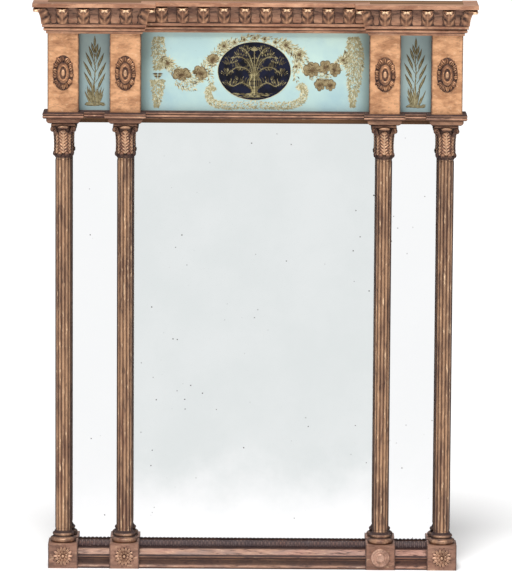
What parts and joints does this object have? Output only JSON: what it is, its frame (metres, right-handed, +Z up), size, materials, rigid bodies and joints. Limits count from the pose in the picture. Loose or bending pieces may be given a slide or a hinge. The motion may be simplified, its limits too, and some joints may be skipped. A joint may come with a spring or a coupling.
{
  "type": "overmantel mirror",
  "caption": "Gilt breakfront overmantel mirror with reeded columns, a leaf-carved cornice, a painted glass frieze and divided plates, hung by swinging rings.",
  "frame": {"origin": "bottom of the wall plane, midway along the width", "axes": "+X to the right as seen from the front, +Y towards the wall, +Z up"},
  "size_m": [0.755, 0.095, 0.978],
  "materials": {
    "gilt_wood": "worn gilding on gesso over wood, brown in the recesses",
    "gilt_ornament": "worn gilding on carved and cast ornament, dark in the recesses",
    "frame_pine": "bare old pine",
    "backboard_pine": "bare old pine, darkened",
    "mirror_glass": "old silvered plate, slightly foxed",
    "painted_glass": "glass painted on the back in pale turquoise with gilt ornament",
    "side_painted_glass": "glass painted on the back in blue grey with gilt plants",
    "hanger_brass": "dull old brass"
  },
  "bodies": {
    "mirror": {"bottom_rail": "frame_pine", "capitals": "gilt_ornament", "centre_architrave_rail": "gilt_wood", "centre_backboard": "backboard_pine", "centre_base_moulding": "gilt_wood", "centre_frieze_glass": "painted_glass", "centre_mirror_plate": "mirror_glass", "column_bases": "gilt_ornament", "cornice_board": "frame_pine", "cornice_centre": "gilt_wood", "cornice_glue_blocks": "frame_pine", "cornice_inner_returns": "gilt_wood", "cornice_leaves": "gilt_ornament", "cornice_left_front": "gilt_wood", "cornice_outer_returns": "gilt_wood", "cornice_right_front": "gilt_wood", "dust_board": "frame_pine", "frieze_backboard": "backboard_pine", "frieze_backing": "backboard_pine", "frieze_paterae": "gilt_ornament", "frieze_rail": "frame_pine", "hanger_plates": "hanger_brass", "inner_left_architrave_cap": "gilt_wood", "inner_left_frieze_block": "gilt_wood", "inner_left_plinth_block": "gilt_wood", "inner_left_shaft": "gilt_wood", "inner_right_architrave_cap": "gilt_wood", "inner_right_frieze_block": "gilt_wood", "inner_right_plinth_block": "gilt_wood", "inner_right_shaft": "gilt_wood", "leaf_strips": "gilt_ornament", "left_architrave_rail": "gilt_wood", "left_backboard": "backboard_pine", "left_base_moulding": "gilt_wood", "left_frieze_glass": "side_painted_glass", "left_mirror_plate": "mirror_glass", "left_muntin": "frame_pine", "left_stile": "frame_pine", "outer_left_architrave_cap": "gilt_wood", "outer_left_frieze_block": "gilt_wood", "outer_left_plinth_block": "gilt_wood", "outer_left_shaft": "gilt_wood", "outer_right_architrave_cap": "gilt_wood", "outer_right_frieze_block": "gilt_wood", "outer_right_plinth_block": "gilt_wood", "outer_right_shaft": "gilt_wood", "plate_blocks": "frame_pine", "plinth_rosettes": "gilt_ornament", "right_architrave_rail": "gilt_wood", "right_backboard": "backboard_pine", "right_base_moulding": "gilt_wood", "right_frieze_glass": "side_painted_glass", "right_mirror_plate": "mirror_glass", "right_muntin": "frame_pine", "right_stile": "frame_pine", "top_rail": "frame_pine"},
    "left_ring": {"left_hanger_ring": "hanger_brass"},
    "right_ring": {"right_hanger_ring": "hanger_brass"}
  },
  "joints": [
    {"name": "left_ring_hinge", "type": "hinge", "parent": "mirror", "child": "left_ring", "pos_m": [-0.23, -0.0041, 0.947], "axis": [1, 0, 0], "range_deg": [0, 180]},
    {"name": "right_ring_hinge", "type": "hinge", "parent": "mirror", "child": "right_ring", "pos_m": [0.23, -0.0041, 0.947], "axis": [1, 0, 0], "range_deg": [0, 180]}
  ]
}
